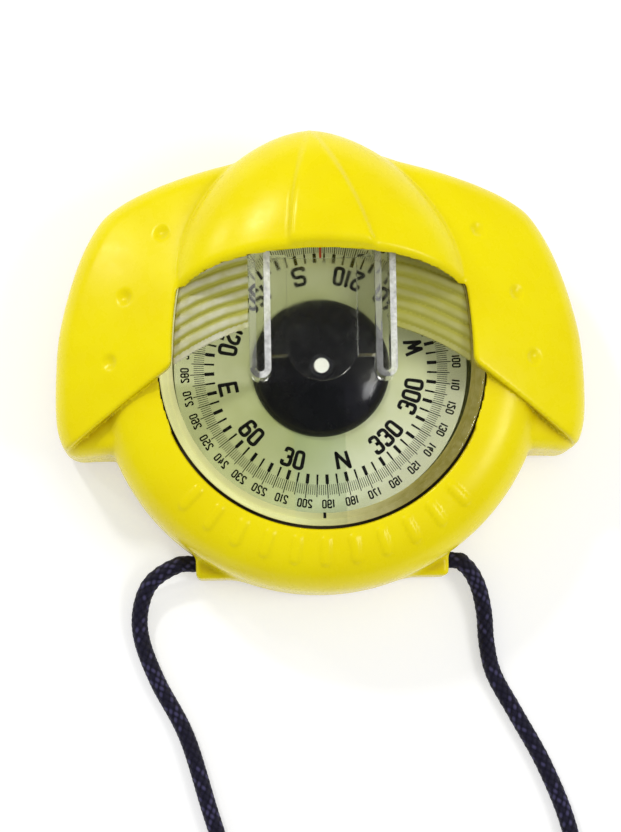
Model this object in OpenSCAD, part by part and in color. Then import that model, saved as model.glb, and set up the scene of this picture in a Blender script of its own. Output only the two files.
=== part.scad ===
// Handheld bearing compass: rubber casing with a hood, liquid-filled capsule, pivoted card, sighting prism
// and lanyard. Millimetres. Z is up with the card level, +Y points towards the hood, and the origin is on
// the pivot axis at the flat underside.

/* [Casing] */
// Outer radius of the round casing
body_r = 39.5; // [38.5:0.5:41]
// Height of the bezel at the window's edge
bezel_z = 24.5; // [24.2:0.1:25]
// Height of the crown of the hood
hood_z = 37; // [36.5:0.5:39]
// Distance of the hood's centre behind the pivot axis
hood_y = 15.4; // [15:0.2:15.8]
// Half of the width over the two grip wings
wing_x = 46.7; // [46:0.1:48]
// Radius of the window opening in the bezel
window_r = 28.7; // [28.6:0.1:29.2]

/* [Card] */
// Outer radius of the compass card
card_r = 25.8; // [24:0.2:25.8]
// Height of the point that the card balances on
pivot_z = 16; // [15.8:0.1:16.2]

/* [Lanyard] */
// Radius of the cord
cord_r = 1.4; // [1:0.1:1.6]
// Half of the length of the bar that the cord threads through
bar_x = 22.5; // [21:0.5:23]

/* [Hidden] */
$fn = 72;
gap = 0.05;              // space left between fitted pieces
clip = 200;              // larger than the whole object, for cutting tools

// Casing levels and walls
lip_z = 21.8;            // underside of the bezel's lip
seat_r = 32.7;           // seat of the capsule's flange
skirt_r = 29.3;          // narrower seat of the bowl, under the flange
skirt_z = 14.2;          // where the seat widens
sill_z = 3;              // top of the casing's bottom lip
sill_r = 30.2;           // opening in the casing's underside
cape_in_x = 26;          // half width between the inner edges of the raised cape
cape_in_stretch = 1.72;  // those edges bend gently: they follow an ellipse this much longer than wide
cape_ball_r = 86;        // the cape's crowned top is part of a ball
cape_ball_z = -54;       // height of that ball's centre
cape_step = 2.5;         // drop from the cape to the wing's lower face
wing_low_z = 2;          // underside of the wings
wing_front_y = -14.8;    // front face of the wings
cape_line_y = -0.5;      // where the cape's diagonal edges start, at the window
cape_line_x = 26;
cape_line_slope = 0.73;
hood_r = 26;             // radius of the hood's dome, along Y
hood_squeeze = 0.955;    // its width against its length
hood_base_z = 20;        // level where the dome is vertical
hood_wall = 2.5;
hood_mouth_y = 13.5;     // the hood's front edge at mouth_z
mouth_z = 27;
mouth_lean = 0.45;       // how far the front edge leans back for each unit of height
band_x = 7.3;            // half width of the hood's raised band, up to band_y
band_y = 18;
band_rise = 0.7;
dimple_r = 1.3;          // thumb dimples in the wings
dimple_at = [[31, 24.5], [37, 13.2], [38.8, 1.6]];

// Lanyard bar
bar_y0 = -36.5;
bar_y1 = -31;
bar_z = 9;
bore_y = -33.6;
bore_z = 4.6;
bore_r = cord_r + 0.6;

// Capsule
cap_r = 32.5;            // flange of cover and bowl
cap_in_r = 27;           // inside of the liquid chamber
cover_z = 24;            // top of the window
cover_under_z = 21.5;    // underside of the window
split_z = 18.5;          // face between cover and bowl
flange_z = 16;           // underside of the bowl's flange
bowl_r = 29.1;
floor_z = 7;             // chamber floor
floor_under_z = 5.2;
bowl_low_z = 3.6;        // clamping face for the diaphragm
clamp_in_r = 22;
seal_r = 28.6;           // centre line of the main seal
seal_wire_r = 0.6;
rib_count = 6;
rib_rise = 0.4;
rib_pitch = 2;
rib_arc_r = 44.3;        // ribs curve about a centre in front of the window
rib_arc_y = -36.3;
rib_in_x = 12.7;

// Screws and plug
case_screws = 6;
case_screw_ring_r = 30.85;
case_screw_r = 0.8;
case_screw_tip_z = 20.6;
head_h = 1.2;
head_r = 1.5;
base_screws = 4;
base_screw_ring_r = 26.6;
base_screw_r = 0.8;
plug_ring_r = 25;
plug_angle = 45;
plug_r = 1.5;
plug_head_r = 2.3;

// Diaphragm and base plate
membrane_t = 0.8;
membrane_r = 28.2;
plate_r = 28.9;
plate_low_z = 0.6;
dish_r = 21;
vent_ring_r = 12;

// Card
card_t = 0.6;
card_z = 14.3;           // underside of the card
card_in_r = 9.5;
float_r = 12.2;
float_wall = 0.8;
float_z = 18.6;          // crown of the float
jewel_r = 1.3;
hub_r = 2.1;
carrier_r = 10.6;
carrier_z = 12.2;
carrier_hole_r = 4.9;
magnet = [14, 2.2, 2.2];
magnet_y = 6.6;
magnet_z = carrier_z + 0.98 - magnet[2];
retainer_z = 10.4;
retainer_hole_r = 3;
retainer_r = 5.1;

// Pivot
stem_r = 1.4;
collar_r = 3.3;
collar_z = 12.4;
needle_r = 0.5;
needle_tip_h = 1.8;

// Sight
fin_x0 = 9;
fin_x1 = 12.6;
fin_y0 = -3.4;
fin_y1 = 28.8;
fin_z = 31;
fin_wall = 1.1;          // each fin is a trough, open at the top
fin_floor = 1.5;
fin_back_y = 19;         // behind this the fins slope down under the hood
fin_back_z = 27.4;
rail_x = 6.1;
rail_y0 = 0.9;
rail_y1 = 18.2;
rail_z = 28.4;
sight_floor_y = -3.2;    // round front end of the sight's floor
sight_floor_t = 0.8;
prism_y0 = 21.6;
prism_y1 = 27.2;
prism_crown = 1;         // bulge of the prism's magnifying face

// ---------- helpers ----------

// Superellipse dome: height above the base for a distance from the axis
function dome(rho, r, h) = h * pow(max(0, 1 - pow(rho / r, 2.3)), 1 / 2.2);

// Solid of revolution with the dome's profile, standing on z = base
module dome_solid(r, h, base, steps = 16) {
    ring = [for (i = [0:steps]) r * sin(90 * i / steps)];
    rotate_extrude()
        polygon(concat([[0, base]], [for (i = [steps:-1:0]) [ring[i], hood_base_z + dome(ring[i], r, h)]]));
}

module ring_solid(r_out, r_in, z0, z1) {
    translate([0, 0, z0])
        difference() {
            cylinder(r = r_out, h = z1 - z0);
            translate([0, 0, -1]) cylinder(r = r_in, h = z1 - z0 + 2);
        }
}

module at_ring(count, radius, start = 0) {
    for (i = [0:count - 1]) rotate(start + 360 * i / count) translate([radius, 0, 0]) children();
}

module both_sides() {
    children();
    mirror([1, 0, 0]) children();
}

// ---------- casing ----------

// Plan of the wings and the back of the casing
module cape_plan() {
    side = [
        [wing_x - 2.4, wing_front_y], [wing_x, wing_front_y + 3.4], [wing_x - 1.9, 5.5], [wing_x - 5, 17.5],
        [wing_x - 8, 26], [wing_x - 11.9, 29.9], [29.2, 32.7], [21.2, 35.4], [13.5, 37.4]
    ];
    offset(r = 1.2, $fn = 24) offset(delta = -1.2)
        polygon(concat(side, [for (i = [len(side) - 1:-1:0]) [-side[i][0], side[i][1]]]));
}

// Everything behind the cape's front edge, in plan
module behind_cape_line() {
    far_x = 60;
    far_y = cape_line_y - (far_x - cape_line_x) * cape_line_slope;
    polygon([
        [-far_x, far_y], [-cape_line_x, cape_line_y], [cape_line_x, cape_line_y], [far_x, far_y],
        [far_x, far_x], [-far_x, far_x]
    ]);
}

module crowned(drop) {
    intersection() {
        translate([0, 0, wing_low_z]) linear_extrude(hood_z) children();
        translate([0, 0, cape_ball_z]) sphere(r = cape_ball_r - drop, $fn = 180);
    }
}

module round_body() {
    rotate_extrude()
        polygon([
            [0, 0], [body_r - 2, 0], [body_r, 2], [body_r, 15], [body_r - 0.9, 18.3], [body_r - 2.8, 21.2],
            [body_r - 5.6, 23.3], [body_r - 8.5, bezel_z - 0.15], [window_r, bezel_z], [0, bezel_z]
        ]);
}

// The hood's dome, a little longer than wide, from base up to the crown
module hood_dome(r, crown_z, base) {
    translate([0, hood_y, 0]) scale([hood_squeeze, 1, 1]) dome_solid(r, crown_z - hood_base_z, base);
}

module hood_band() {
    back_y = hood_y + hood_r - 2;
    intersection() {
        hood_dome(hood_r, hood_z, 10);
        linear_extrude(clip)
            polygon([
                [-band_x, 0], [band_x, 0], [band_x, band_y], [0.7 * band_x, (band_y + back_y) / 2],
                [0.5, back_y], [-0.5, back_y], [-0.7 * band_x, (band_y + back_y) / 2], [-band_x, band_y]
            ]);
    }
}

module lanyard_bar() {
    translate([-bar_x, bar_y0, 0]) cube([2 * bar_x, bar_y1 - bar_y0, bar_z]);
}

// Space in front of the leaning edge of the hood
module mouth() {
    low_z = lip_z;
    high_z = hood_z + 5;
    rotate([90, 0, 90])
        linear_extrude(clip, center = true)
            polygon([
                [-clip, low_z], [hood_mouth_y + (low_z - mouth_z) * mouth_lean, low_z],
                [hood_mouth_y + (high_z - mouth_z) * mouth_lean, high_z], [-clip, high_z]
            ]);
}

// Opening between the cape's inner edges, within the window
module cape_opening(low_z, height, shrink) {
    translate([0, 0, low_z])
        intersection() {
            cylinder(r = window_r - shrink, h = height);
            scale([1, cape_in_stretch, 1]) cylinder(r = cape_in_x - shrink, h = height);
        }
}

module rubber_casing() color("gold") difference() {
    union() {
        round_body();
        crowned(0) intersection() {
            cape_plan();
            behind_cape_line();
        }
        crowned(cape_step) cape_plan();
        hood_dome(hood_r, hood_z - band_rise, 10);
        hood_band();
        lanyard_bar();
    }
    // seat of the capsule
    translate([0, 0, sill_z]) cylinder(r = skirt_r, h = lip_z - sill_z);
    translate([0, 0, skirt_z]) cylinder(r = seat_r, h = lip_z - skirt_z);
    translate([0, 0, -1]) cylinder(r = sill_r, h = sill_z + 1);
    // window, open to the front of the hood
    translate([0, 0, lip_z - 1]) cylinder(r = window_r, h = bezel_z - lip_z + 1.1);
    intersection() {
        cape_opening(lip_z - 1, clip, 0);
        mouth();
    }
    // pocket for the ribbed shoulders, under the hood's front corners
    intersection() {
        cape_opening(lip_z, cover_z + rib_count * rib_rise + 0.2 - lip_z, 0);
        translate([-clip / 2, -clip + 17, 0]) cube(clip);
    }
    // inside of the hood
    intersection() {
        hood_dome(hood_r - hood_wall, hood_z - hood_wall, hood_base_z);
        translate([-clip / 2, -clip / 2, cover_z]) cube(clip);
    }
    // lanyard bore
    translate([0, bore_y, bore_z]) rotate([0, 90, 0]) cylinder(r = bore_r, h = clip, center = true);
    // thumb dimples
    both_sides() for (p = dimple_at) {
        surface_z = cape_ball_z + sqrt(pow(cape_ball_r, 2) - pow(norm(p), 2));
        translate([p[0], p[1], surface_z + dimple_r * 0.6]) sphere(r = dimple_r, $fn = 32);
    }
}

// ---------- capsule ----------

// Ribbed shoulder of the cover on the +X side: a stair of slabs with curved front edges
module ribbed_shoulder() {
    intersection() {
        union() for (k = [0:rib_count - 1])
            difference() {
                cape_opening(cover_z - 0.5, 0.5 + rib_rise * (k + 1), 0.4);
                translate([0, rib_arc_y + rib_pitch * k, 0]) cylinder(r = rib_arc_r, h = clip, $fn = 144);
            }
        translate([rib_in_x, -1, 0]) cube([clip, 17.5, clip]);
    }
}

module capsule_cover() color("azure", 0.35) difference() {
    union() {
        translate([0, 0, split_z]) cylinder(r = cap_r, h = lip_z - gap - split_z);
        translate([0, 0, lip_z - 1]) cylinder(r = window_r - 0.3, h = cover_z - lip_z + 1);
        both_sides() ribbed_shoulder();
    }
    translate([0, 0, split_z - 1]) cylinder(r = cap_in_r, h = cover_under_z - split_z + 1);
    // seal groove and screw holes
    ring_solid(seal_r + seal_wire_r, seal_r - seal_wire_r, split_z - 1, split_z + seal_wire_r);
    at_ring(case_screws, case_screw_ring_r, 30)
        translate([0, 0, split_z - 1]) cylinder(r = case_screw_r, h = case_screw_tip_z + 0.1 - split_z + 1);
    // slots for the two lubber lines
    line_slot(rear = true, grow = gap);
    line_slot(rear = false, grow = gap);
}

module capsule_bowl() color("darkkhaki") difference() {
    union() {
        translate([0, 0, bowl_low_z]) cylinder(r = bowl_r, h = split_z - bowl_low_z);
        translate([0, 0, flange_z]) cylinder(r = cap_r, h = split_z - flange_z);
    }
    translate([0, 0, floor_z]) cylinder(r = cap_in_r, h = clip);
    translate([0, 0, bowl_low_z - 1]) cylinder(r = clamp_in_r, h = floor_under_z - bowl_low_z + 1);
    // seal groove and screw holes
    ring_solid(seal_r + seal_wire_r, seal_r - seal_wire_r, split_z - seal_wire_r, split_z + 1);
    at_ring(case_screws, case_screw_ring_r, 30)
        translate([0, 0, flange_z - 1]) cylinder(r = case_screw_r + 0.1, h = split_z - flange_z + 2);
    at_ring(base_screws, base_screw_ring_r)
        translate([0, 0, bowl_low_z - 1]) cylinder(r = base_screw_r, h = 2.6);
    // ports to the diaphragm, socket of the pivot stem, filler hole
    at_ring(6, 14, 30) translate([0, 0, floor_under_z - 1]) cylinder(r = 2.5, h = 4);
    translate([0, 0, floor_under_z - 1]) cylinder(r = stem_r, h = 4);
    rotate(plug_angle) translate([plug_ring_r, 0, bowl_low_z - 1]) cylinder(r = plug_r, h = 6);
}

module capsule_seal() color("black")
    rotate_extrude() translate([seal_r, split_z]) circle(r = seal_wire_r - 0.02, $fn = 24);

// Pan-head screw pointing up, head under z = 0
module screw(r, length) {
    difference() {
        translate([0, 0, -head_h]) cylinder(r = head_r, h = head_h);
        translate([0, 0, -head_h - 0.01]) for (turn = [0, 90])
            rotate(turn) translate([-0.2, -1, 0]) cube([0.4, 2, 0.7]);
    }
    cylinder(r = r, h = length - r);
    translate([0, 0, length - r]) cylinder(r1 = r, r2 = r * 0.3, h = r);
}

module capsule_screws() color("silver")
    at_ring(case_screws, case_screw_ring_r, 30)
        translate([0, 0, flange_z]) screw(case_screw_r - 0.01, case_screw_tip_z - flange_z);

module expansion_diaphragm() color("dimgray") difference() {
    union() {
        ring_solid(membrane_r, clamp_in_r - 3, bowl_low_z - membrane_t, bowl_low_z);
        // rolled corrugation and a flat centre
        ring_solid(clamp_in_r - 3, clamp_in_r - 3.6, bowl_low_z - membrane_t, bowl_low_z + 0.8);
        ring_solid(clamp_in_r - 3, clamp_in_r - 6, bowl_low_z + 0.4, bowl_low_z + 0.8);
        ring_solid(clamp_in_r - 5.4, clamp_in_r - 6, bowl_low_z - membrane_t, bowl_low_z + 0.8);
        translate([0, 0, bowl_low_z - membrane_t]) cylinder(r = clamp_in_r - 5.4, h = membrane_t / 2);
    }
    at_ring(base_screws, base_screw_ring_r) cylinder(r = base_screw_r + 0.1, h = 10);
    rotate(plug_angle) translate([plug_ring_r, 0, 0]) cylinder(r = plug_head_r + 0.3, h = 10);
}

module base_plate() color([0.16, 0.16, 0.17]) difference() {
    top_z = bowl_low_z - membrane_t;
    translate([0, 0, plate_low_z]) cylinder(r = plate_r, h = top_z - plate_low_z);
    translate([0, 0, top_z - 0.8]) cylinder(r = dish_r, h = 2);
    at_ring(base_screws, base_screw_ring_r) {
        cylinder(r = base_screw_r + 0.1, h = 10);
        cylinder(r = head_r + 0.1, h = plate_low_z + head_h);
    }
    rotate(plug_angle) translate([plug_ring_r, 0, 0]) cylinder(r = plug_head_r + 0.3, h = 10);
    at_ring(6, vent_ring_r) cylinder(r = 0.8, h = 10);
    // shallow rings turned in the underside
    for (r = [17, 9]) ring_solid(r + 0.4, r, 0, plate_low_z + 0.3);
}

module base_plate_screws() color("silver")
    at_ring(base_screws, base_screw_ring_r)
        translate([0, 0, plate_low_z + head_h]) screw(base_screw_r - 0.01, 3.2);

module filler_plug() color("peru")
    rotate(plug_angle) translate([plug_ring_r, 0, 0]) difference() {
        union() {
            translate([0, 0, 1.5]) cylinder(r = plug_head_r, h = 1.5);
            translate([0, 0, 3]) cylinder(r = plug_r - 0.02, h = floor_z - 0.2 - 3);
        }
        translate([-2, -0.3, 1]) cube([4, 0.6, 1.1]);
    }

module filler_washer() color("black")
    rotate(plug_angle) translate([plug_ring_r, 0, 0])
        ring_solid(plug_head_r, plug_r, 3, bowl_low_z);

// Bars let into the underside of the window: red at the hood, black at the front
module line_slot(rear, grow = 0) {
    width = rear ? 0.4 : 0.5;
    y0 = rear ? 18.4 : -26.9;
    length = rear ? 8 : 1;
    translate([-width / 2 - grow, y0 - grow, cover_under_z - 1])
        cube([width + 2 * grow, length + 2 * grow, 1.3 + grow]);
}

module line_bar(rear)
    intersection() {
        line_slot(rear);
        translate([-clip / 2, -clip / 2, cover_under_z]) cube(clip);
    }

module rear_lubber_line() color("firebrick") line_bar(true);
module front_lubber_mark() color("black") line_bar(false);

// ---------- pivot ----------

module pivot_stem() color("goldenrod") difference() {
    union() {
        translate([0, 0, floor_under_z + 0.1]) cylinder(r = stem_r - 0.01, h = 13.4 - floor_under_z);
        translate([0, 0, floor_z]) cylinder(r = 2.8, h = 1);
        translate([0, 0, collar_z]) cylinder(r = collar_r, h = 0.5);
    }
    translate([0, 0, 10]) cylinder(r = needle_r, h = 10);
}

module pivot_needle() color("lightsteelblue") {
    point_z = pivot_z - 0.02;
    translate([0, 0, 10]) cylinder(r = needle_r - 0.01, h = point_z - needle_tip_h - 10);
    translate([0, 0, point_z - needle_tip_h]) cylinder(r1 = needle_r - 0.01, r2 = 0.02, h = needle_tip_h);
}

// ---------- card ----------

module jewel_cup() color("crimson") difference() {
    translate([0, 0, pivot_z]) sphere(r = jewel_r, $fn = 48);
    translate([0, 0, pivot_z - 2]) cylinder(r1 = 2.4, r2 = 0.02, h = 2.01);
}

module card_hub() color("white") difference() {
    union() {
        translate([0, 0, 15]) cylinder(r = hub_r, h = float_z - 0.4 - 15);
        translate([0, 0, float_z - 0.4]) cylinder(r1 = hub_r - 0.4, r2 = hub_r - 0.8, h = 0.6);
    }
    translate([0, 0, pivot_z]) sphere(r = jewel_r + 0.02, $fn = 48);
    translate([0, 0, 14]) cylinder(r = jewel_r - 0.1, h = pivot_z - 14);
}

module card_float() color([0.08, 0.08, 0.11]) difference() {
    top = card_z + card_t;
    rise = float_z - top;
    steps = 10;
    rotate_extrude()
        polygon(concat(
            [for (i = [0:steps])
                [float_r * cos(90 * i / steps), top + rise * pow(sin(90 * i / steps), 0.9)]],
            [for (i = [steps:-1:0])
                [(float_r - float_wall) * cos(90 * i / steps),
                 top + (rise - float_wall) * pow(sin(90 * i / steps), 0.9)]]
        ));
    cylinder(r = hub_r, h = clip);
}

module card_disc() color("palegoldenrod")
    ring_solid(card_r, card_in_r, card_z, card_z + card_t);

module magnet_carrier() color([0.3, 0.3, 0.32]) difference() {
    translate([0, 0, carrier_z]) cylinder(r = carrier_r, h = card_z - carrier_z);
    cylinder(r = carrier_hole_r, h = clip);
    for (side = [-1, 1])
        translate([-magnet[0] / 2, side * magnet_y - magnet[1] / 2, carrier_z - 1])
            cube([magnet[0], magnet[1], 2]);
}

module card_magnets() color("slategray")
    for (side = [-1, 1])
        translate([-magnet[0] / 2 + 0.02, side * magnet_y - magnet[1] / 2 + 0.02, magnet_z])
            cube([magnet[0] - 0.04, magnet[1] - 0.04, magnet[2]]);

module card_retainer() color("gray") {
    ring_solid(retainer_r, retainer_hole_r, retainer_z, retainer_z + 0.5);
    ring_solid(retainer_r, retainer_r - 0.6, retainer_z, carrier_z);
}

// ---------- sight ----------

// Plan of a fin, shrunk by inset: straight sides with a round front end
module fin_plan(inset) {
    round_r = (fin_x1 - fin_x0) / 2;
    middle_x = (fin_x0 + fin_x1) / 2;
    translate([middle_x, fin_y0 + round_r]) circle(r = round_r - inset, $fn = 48);
    translate([fin_x0 + inset, fin_y0 + round_r])
        square([2 * (round_r - inset), fin_y1 - fin_y0 - round_r]);
}

module fin() {
    intersection() {
        difference() {
            translate([0, 0, cover_z + gap]) linear_extrude(clip) fin_plan(0);
            translate([0, 0, cover_z + fin_floor]) linear_extrude(clip) fin_plan(fin_wall);
        }
        rotate([90, 0, 90]) linear_extrude(clip)
            polygon([[fin_y0, 0], [fin_y1, 0], [fin_y1, fin_back_z], [fin_back_y, fin_z], [fin_y0, fin_z]]);
    }
}

module sight_frame() color("azure", 0.35) {
    both_sides() {
        fin();
        translate([rail_x, rail_y0, cover_z + gap])
            cube([fin_x0 - rail_x + 0.01, rail_y1 - rail_y0, rail_z - cover_z - gap]);
    }
    // floor between the rails, round at the front, and the cross-piece behind the prism
    translate([0, sight_floor_y + rail_x, cover_z + gap]) cylinder(r = rail_x + 0.01, h = sight_floor_t);
    translate([-rail_x - 0.01, sight_floor_y + rail_x, cover_z + gap])
        cube([2 * rail_x + 0.02, rail_y1 - sight_floor_y - rail_x, sight_floor_t]);
    translate([-fin_x1, fin_y1 - 0.01, cover_z + gap]) cube([2 * fin_x1, 1.8, sight_floor_t]);
}

module sight_prism() color("lightcyan", 0.5) {
    low_z = cover_z + gap;
    side = prism_y1 - prism_y0;
    half = fin_x0 - gap;
    lens_r = (pow(side / 2, 2) + pow(prism_crown, 2)) / (2 * prism_crown);
    rotate([90, 0, 90]) translate([0, 0, -half]) linear_extrude(2 * half) {
        polygon([[prism_y0, low_z], [prism_y1, low_z], [prism_y1, low_z + side]]);
        intersection() {
            translate([prism_y1 + prism_crown - lens_r, low_z + side / 2]) circle(r = lens_r, $fn = 96);
            translate([prism_y1 - 0.2, low_z]) square([prism_crown + 0.2, side]);
        }
    }
}

// ---------- lanyard ----------

// Smooth curve through the points of a list
function spline(p, i, t) =
    let (a = p[max(i - 1, 0)], b = p[i], c = p[i + 1], d = p[min(i + 2, len(p) - 1)])
    0.5 * (2 * b + (c - a) * t + (2 * a - 5 * b + 4 * c - d) * t * t + (3 * b - a - 3 * c + d) * t * t * t);
function spline_path(p, steps) =
    concat([for (i = [0:len(p) - 2]) for (s = [0:steps - 1]) spline(p, i, s / steps)], [p[len(p) - 1]]);

// Tube of round section along a path that is close to level
module tube(path, r, sides = 12) {
    n = len(path);
    along = [for (i = [0:n - 1]) path[min(i + 1, n - 1)] - path[max(i - 1, 0)]];
    rings = [for (i = [0:n - 1])
        let (side = [along[i][1], -along[i][0], 0] / norm([along[i][0], along[i][1]]))
        let (up = cross(side, along[i]) / norm(along[i]))
        for (k = [0:sides - 1]) path[i] + r * (side * cos(360 * k / sides) + up * sin(360 * k / sides))];
    walls = [for (i = [0:n - 2]) for (k = [0:sides - 1]) let (m = (k + 1) % sides)
        [i * sides + k, i * sides + m, (i + 1) * sides + m, (i + 1) * sides + k]];
    polyhedron(points = rings, faces = concat(
        walls, [[for (k = [sides - 1:-1:0]) k]], [[for (k = [0:sides - 1]) (n - 1) * sides + k]]));
}

// Path of the cord, from the bore's axis: out of one end of the bar, round the loop, back in at the other
low = cord_r + 0.2 - bore_z;          // height at which the cord lies on the resting surface
knot_half = 5;
knot_r = 3.5;
knot_at = [15, -88, knot_r + 0.1 - bore_z];
cord_points = [
    knot_at - [knot_half - 1, -0.5, 0], [1, -81, low], [-13, -66, low], [-20, -46, low], [-24.5, -31, low],
    [-29.6, -21, low], [-32.4, -13.5, low], [-32.6, -8, low * 0.8], [-30.6, -3.2, low * 0.4],
    [-26, -0.3, 0], [-22, 0, 0], [0, 0, 0], [22, 0, 0], [25.6, -0.9, 0], [28, -4.4, low * 0.4],
    [29.2, -9.4, low * 0.8], [29.6, -15, low], [30.8, -20.6, low], [34.4, -27.4, low], [39.5, -37, low],
    [43.6, -48, low], [45.4, -60, low], [42, -74, low], [32, -83.5, low],
    knot_at + [knot_half - 1, 0.5, 0]
];

module lanyard() color("midnightblue") translate([0, bore_y, bore_z]) {
    tube(spline_path(cord_points, 6), cord_r);
    translate(knot_at) rotate([0, 90, 0])
        rotate_extrude() polygon(concat(
            [[0, -knot_half]],
            [for (a = [-75:15:75]) [knot_r * pow(cos(a), 0.7), knot_half * sin(a)]],
            [[0, knot_half]]
        ));
}

rubber_casing();
capsule_cover();
capsule_bowl();
capsule_seal();
capsule_screws();
expansion_diaphragm();
base_plate();
base_plate_screws();
filler_plug();
filler_washer();
pivot_stem();
pivot_needle();
rear_lubber_line();
front_lubber_mark();
sight_frame();
sight_prism();
jewel_cup();
card_hub();
card_float();
card_retainer();
card_disc();
magnet_carrier();
card_magnets();
lanyard();
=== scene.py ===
"""Looks for the handheld bearing compass: casing, clear capsule, printed card and braided lanyard."""
from math import cos, hypot, pi, radians, sin, sqrt

import bpy
import numpy as np
from mathutils import Matrix, Vector


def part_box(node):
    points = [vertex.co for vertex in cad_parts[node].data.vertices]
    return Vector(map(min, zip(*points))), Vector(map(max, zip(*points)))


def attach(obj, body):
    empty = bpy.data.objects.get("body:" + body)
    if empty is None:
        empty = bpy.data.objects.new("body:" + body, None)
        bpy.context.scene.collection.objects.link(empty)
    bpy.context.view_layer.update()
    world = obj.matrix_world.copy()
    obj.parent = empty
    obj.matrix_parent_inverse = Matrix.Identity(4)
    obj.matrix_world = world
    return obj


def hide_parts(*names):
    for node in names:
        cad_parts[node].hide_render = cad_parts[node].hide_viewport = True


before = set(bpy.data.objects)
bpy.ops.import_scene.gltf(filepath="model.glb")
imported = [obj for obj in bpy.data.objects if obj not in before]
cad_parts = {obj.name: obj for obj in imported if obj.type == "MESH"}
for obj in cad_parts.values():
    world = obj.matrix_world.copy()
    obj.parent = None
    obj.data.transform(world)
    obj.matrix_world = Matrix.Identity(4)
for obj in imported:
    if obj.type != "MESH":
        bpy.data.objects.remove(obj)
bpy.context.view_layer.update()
scene = bpy.context.scene
MM = 0.001

# ---------- sizes in millimetres, read from the frame where a node gives them ----------


def low(node):
    return np.array(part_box(node)[0]) / MM


def high(node):
    return np.array(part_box(node)[1]) / MM


COVER_Z = low("sight_frame")[2] - 0.05  # top of the window
LIP_Z = 21.8  # underside of the bezel's lip
SPLIT_Z = low("capsule_cover")[2]  # face between the cover and the bowl
FLANGE_R = high("capsule_cover")[0]
CASING_TOP = high("rubber_casing")[2]
BODY_R = -low("rubber_casing")[1]
WING_X = high("rubber_casing")[0]
BEZEL_Z = 24.5  # top of the bezel, where it meets the window
WINDOW_R = 28.6  # opening in the bezel
CAPE_X, CAPE_STRETCH = 26.0, 1.72  # the cape's inner edges follow an ellipse
HOOD_R, HOOD_X = 28.4, 26.9  # half length and half width of the hood
HOOD_Y = high("rubber_casing")[1] - HOOD_R
HOOD_BASE = 20.0  # the hood's walls stand straight up to here
CARD_TOP = high("card_disc")[2]
BORE_Y, BORE_Z, BORE_R = -33.6, 4.6, 2.0  # bore of the lanyard's bar
CORD_R = 1.5


# ---------- implicit surfaces: signed fields over points in millimetres, negative inside ----------


def smooth_min(a, b, width):
    """Union of two fields with a fillet."""
    share = np.clip(0.5 + 0.5 * (b - a) / width, 0, 1)
    return b * (1 - share) + a * share - width * share * (1 - share)


def smooth_max(a, b, width):
    """Intersection of two fields with a rounded edge."""
    return -smooth_min(-a, -b, width)


def largest(*fields):
    result = fields[0]
    for field in fields[1:]:
        result = np.maximum(result, field)
    return result


def super_round(across, up, across_size, up_size, power_across, power_up):
    """Field of a rounded quarter profile that reaches across_size and up_size."""
    a = np.maximum(across / across_size, 1e-6)
    u = np.maximum(up / up_size, 1e-6)
    value = a**power_across + u**power_up - 1
    across_slope = power_across * a ** (power_across - 1) / across_size
    up_slope = power_up * u ** (power_up - 1) / up_size
    return value / np.maximum(np.hypot(across_slope, up_slope), 0.02)


def unit(rows):
    return rows / np.maximum(np.linalg.norm(rows, axis=1), 1e-9)[:, None]


def flat_grid(corner, counts, pitch):
    lines = [start + pitch * np.arange(count) for start, count in zip(corner, counts)]
    return np.meshgrid(*lines, indexing="ij")


def outline_field(points, pitch=0.25, margin=14):
    """Signed distance to a closed plan outline, as a function that looks it up in a fine table."""
    steps = np.roll(points, -1, axis=0) - points
    corner = points.min(0) - margin
    size = np.ceil((points.max(0) + margin - corner) / pitch).astype(int) + 1
    gx, gy = flat_grid(corner, size, pitch)
    nearest = np.full(gx.shape, 1e9)
    inside = np.zeros(gx.shape, bool)
    for (sx, sy), (dx, dy) in zip(points, steps):
        along = np.clip(((gx - sx) * dx + (gy - sy) * dy) / (dx * dx + dy * dy), 0, 1)
        nearest = np.minimum(nearest, (gx - sx - along * dx) ** 2 + (gy - sy - along * dy) ** 2)
        crosses = (sy > gy) != (sy + dy > gy)
        if dy:
            inside ^= crosses & (gx < sx + (gy - sy) / dy * dx)
    table = np.where(inside, -1, 1) * np.sqrt(nearest)

    def look_up(x, y):
        fx = np.clip((x - corner[0]) / pitch, 0, size[0] - 1.001)
        fy = np.clip((y - corner[1]) / pitch, 0, size[1] - 1.001)
        i, j = fx.astype(int), fy.astype(int)
        u, v = fx - i, fy - j
        near = table[i, j] * (1 - u) + table[i + 1, j] * u
        far = table[i, j + 1] * (1 - u) + table[i + 1, j + 1] * u
        return near * (1 - v) + far * v

    return look_up


def spline(points, steps):
    """Catmull-Rom curve through points, ends included."""
    p = np.vstack([points[0], points, points[-1]])
    t = np.linspace(0, 1, steps, endpoint=False)[:, None]
    pieces = []
    for a, b, c, d in zip(p[:-3], p[1:-2], p[2:-1], p[3:]):
        cubic = 3 * b - a - 3 * c + d
        pieces.append(0.5 * (2 * b + (c - a) * t + (2 * a - 5 * b + 4 * c - d) * t**2 + cubic * t**3))
    return np.vstack(pieces + [p[-1:]])


# ---------- meshes from implicit surfaces ----------

CELL_CORNERS = np.array([[c & 1, c >> 1 & 1, c >> 2 & 1] for c in range(8)])
CELL_EDGES = [(a, b) for a in range(8) for b in range(a + 1, 8) if bin(a ^ b).count("1") == 1]


def sample_grid(field, lowest, counts, pitch):
    """Values of field on a regular grid, one layer at a time."""
    values = np.empty(counts)
    y, z = flat_grid(lowest[1:], counts[1:], pitch)
    layer = np.stack([np.zeros(y.size), y.ravel(), z.ravel()], axis=1)
    for i in range(counts[0]):
        layer[:, 0] = lowest[0] + pitch * i
        values[i] = field(layer).reshape(counts[1:])
    return values


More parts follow.
